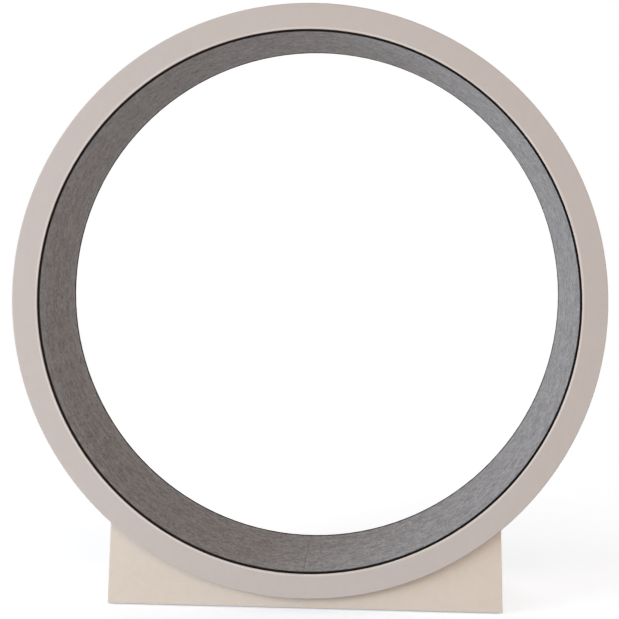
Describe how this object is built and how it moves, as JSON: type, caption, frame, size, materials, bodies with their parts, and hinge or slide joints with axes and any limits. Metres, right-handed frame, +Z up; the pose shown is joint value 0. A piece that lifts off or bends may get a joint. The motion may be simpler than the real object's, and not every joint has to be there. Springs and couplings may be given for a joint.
{
  "type": "cat exercise wheel",
  "caption": "Upright running wheel for a cat: a carpet-lined drum between two side rings turns on rollers hidden in a low box base.",
  "frame": {"origin": "on the floor, under the middle of the wheel", "axes": "+X to the right seen from the front, +Y from front to rear along the wheel's axis, +Z up"},
  "size_m": [1, 0.3, 1.022],
  "materials": {
    "ring_paint": "satin pinkish off-white paint on board",
    "base_paint": "satin warm beige paint on board",
    "skin_board": "satin off-white face of bent board",
    "carpet": "grey short-pile needled carpet",
    "edge_rubber": "matt black",
    "bare_timber": "planed softwood",
    "dowel_beech": "turned beech",
    "bracket_steel": "zinc plated",
    "zinc_steel": "bright zinc plated",
    "bearing_steel": "ground and polished",
    "aluminium_sheet": "mill finish",
    "hub_nylon": "natural white nylon",
    "tyre_rubber": "dark grey soft tread",
    "glide_nylon": "white nylon",
    "foot_rubber": "black foam rubber"
  },
  "bodies": {
    "base": {"base_front_panel": "base_paint", "base_rear_panel": "base_paint", "base_left_end": "base_paint", "base_right_end": "base_paint", "base_floor_board": "base_paint", "left_roller_beam": "bare_timber", "right_roller_beam": "bare_timber", "panel_dowels": "dowel_beech", "cam_bolts": "zinc_steel", "cam_discs": "zinc_steel", "bracket_screws": "zinc_steel", "beam_screws": "zinc_steel", "axle_bolts": "zinc_steel", "axle_nuts": "zinc_steel", "axle_washers": "zinc_steel", "side_spacers": "zinc_steel", "inner_spacer_tubes": "zinc_steel", "bearing_inner_rings": "bearing_steel", "glide_pads": "glide_nylon", "foot_pads": "foot_rubber", "front_left_bracket": "bracket_steel", "front_right_bracket": "bracket_steel", "rear_left_bracket": "bracket_steel", "rear_right_bracket": "bracket_steel"},
    "wheel": {"front_side_ring": "ring_paint", "rear_side_ring": "ring_paint", "drum_skin": "skin_board", "carpet_liner": "carpet", "front_edge_trim": "edge_rubber", "rear_edge_trim": "edge_rubber", "skin_splice_plate": "aluminium_sheet", "splice_rivets": "aluminium_sheet"},
    "front_left_roller": {"front_left_roller_hub": "hub_nylon", "front_left_roller_tyre": "tyre_rubber", "front_left_bearing_outers": "bearing_steel", "front_left_bearing_balls": "bearing_steel"},
    "front_right_roller": {"front_right_roller_hub": "hub_nylon", "front_right_roller_tyre": "tyre_rubber", "front_right_bearing_outers": "bearing_steel", "front_right_bearing_balls": "bearing_steel"},
    "rear_left_roller": {"rear_left_roller_hub": "hub_nylon", "rear_left_roller_tyre": "tyre_rubber", "rear_left_bearing_outers": "bearing_steel", "rear_left_bearing_balls": "bearing_steel"},
    "rear_right_roller": {"rear_right_roller_hub": "hub_nylon", "rear_right_roller_tyre": "tyre_rubber", "rear_right_bearing_outers": "bearing_steel", "rear_right_bearing_balls": "bearing_steel"}
  },
  "joints": [
    {"name": "wheel_spin", "type": "hinge", "parent": "base", "child": "wheel", "pos_m": [0, 0, 0.522], "axis": [0, 1, 0], "continuous": true},
    {"name": "front_left_roller_spin", "type": "hinge", "parent": "base", "child": "front_left_roller", "pos_m": [-0.24415, -0.085, 0.09912], "axis": [0, 1, 0], "continuous": true},
    {"name": "front_right_roller_spin", "type": "hinge", "parent": "base", "child": "front_right_roller", "pos_m": [0.24415, -0.085, 0.09912], "axis": [0, 1, 0], "continuous": true},
    {"name": "rear_left_roller_spin", "type": "hinge", "parent": "base", "child": "rear_left_roller", "pos_m": [-0.24415, 0.085, 0.09912], "axis": [0, 1, 0], "continuous": true},
    {"name": "rear_right_roller_spin", "type": "hinge", "parent": "base", "child": "rear_right_roller", "pos_m": [0.24415, 0.085, 0.09912], "axis": [0, 1, 0], "continuous": true}
  ],
  "couplings": [
    {"joint": "front_left_roller_spin", "follows": "wheel_spin", "ratio": -18.52},
    {"joint": "front_right_roller_spin", "follows": "wheel_spin", "ratio": -18.52},
    {"joint": "rear_left_roller_spin", "follows": "wheel_spin", "ratio": -18.52},
    {"joint": "rear_right_roller_spin", "follows": "wheel_spin", "ratio": -18.52}
  ]
}
